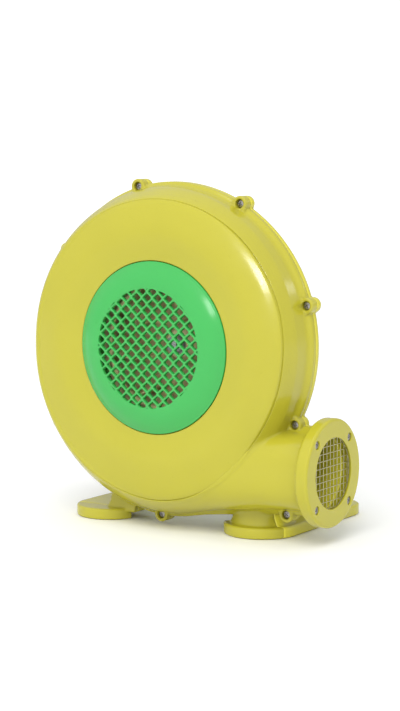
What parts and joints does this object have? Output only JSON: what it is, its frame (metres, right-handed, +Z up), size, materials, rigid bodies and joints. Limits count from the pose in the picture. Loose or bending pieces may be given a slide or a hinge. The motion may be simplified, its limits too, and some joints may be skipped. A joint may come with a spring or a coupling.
{
  "type": "centrifugal air blower",
  "caption": "Centrifugal air blower: yellow two-part scroll casing on moulded feet, round green intake grille, round outlet with a wire guard, motor behind the casing.",
  "frame": {"origin": "on the ground, at the middle of the footprint box", "axes": "+Z up; +X the way the outlet blows; -Y the intake side, so the motor is on +Y"},
  "size_m": [0.3768, 0.2518, 0.3803],
  "materials": {
    "casing_yellow": "moulded plastic, soft gloss, fine surface texture",
    "cover_green": "moulded plastic, gloss",
    "screw_steel": "zinc plated screws",
    "guard_wire": "bright drawn wire",
    "impeller_grey": "moulded filled plastic",
    "shaft_steel": "ground steel",
    "lamination_steel": "stacked steel laminations",
    "winding_copper": "varnished copper windings",
    "bell_aluminium": "die cast",
    "black_plastic": "moulded plastic",
    "rocker_red": "moulded plastic, gloss",
    "cord_rubber": "flexible cord sheath",
    "plug_brass": "plug contacts",
    "capacitor_case": "moulded case"
  },
  "bodies": {
    "casing": {"capacitor": "capacitor_case", "casing_screw_1": "screw_steel", "casing_screw_2": "screw_steel", "casing_screw_3": "screw_steel", "casing_screw_4": "screw_steel", "casing_screw_5": "screw_steel", "casing_screw_6": "screw_steel", "casing_screw_7": "screw_steel", "casing_screw_8": "screw_steel", "cord_grip": "black_plastic", "cord_tie": "black_plastic", "cover_screw_1": "screw_steel", "cover_screw_2": "screw_steel", "cover_screw_3": "screw_steel", "cover_screw_4": "screw_steel", "earth_pin": "plug_brass", "front_bearing": "shaft_steel", "front_casing": "casing_yellow", "front_end_bell": "bell_aluminium", "front_winding": "winding_copper", "intake_cover": "cover_green", "live_blade": "plug_brass", "motor_cover": "cover_green", "motor_screw_1": "screw_steel", "motor_screw_2": "screw_steel", "motor_screw_3": "screw_steel", "motor_screw_4": "screw_steel", "neutral_blade": "plug_brass", "outlet_guard": "guard_wire", "outlet_ring": "casing_yellow", "outlet_screw_1": "screw_steel", "outlet_screw_2": "screw_steel", "outlet_screw_3": "screw_steel", "outlet_screw_4": "screw_steel", "power_cord": "cord_rubber", "power_plug": "cord_rubber", "rear_bearing": "shaft_steel", "rear_casing": "casing_yellow", "rear_end_bell": "bell_aluminium", "rear_winding": "winding_copper", "stator_core": "lamination_steel", "switch_body": "black_plastic"},
    "impeller_set": {"impeller": "impeller_grey", "impeller_washer": "screw_steel", "impeller_nut": "screw_steel", "motor_shaft": "shaft_steel", "rotor_core": "lamination_steel", "cooling_fan": "black_plastic"},
    "rocker": {"switch_rocker": "rocker_red"}
  },
  "joints": [
    {"name": "impeller_spin", "type": "hinge", "parent": "casing", "child": "impeller_set", "pos_m": [-0.00165, -0.05715, 0.2025], "axis": [0, 1, 0], "continuous": true},
    {"name": "switch_rock", "type": "hinge", "parent": "casing", "child": "rocker", "pos_m": [-0.07765, 0.04285, 0.2025], "axis": [0, 1, 0], "range_deg": [-16, 0]}
  ]
}
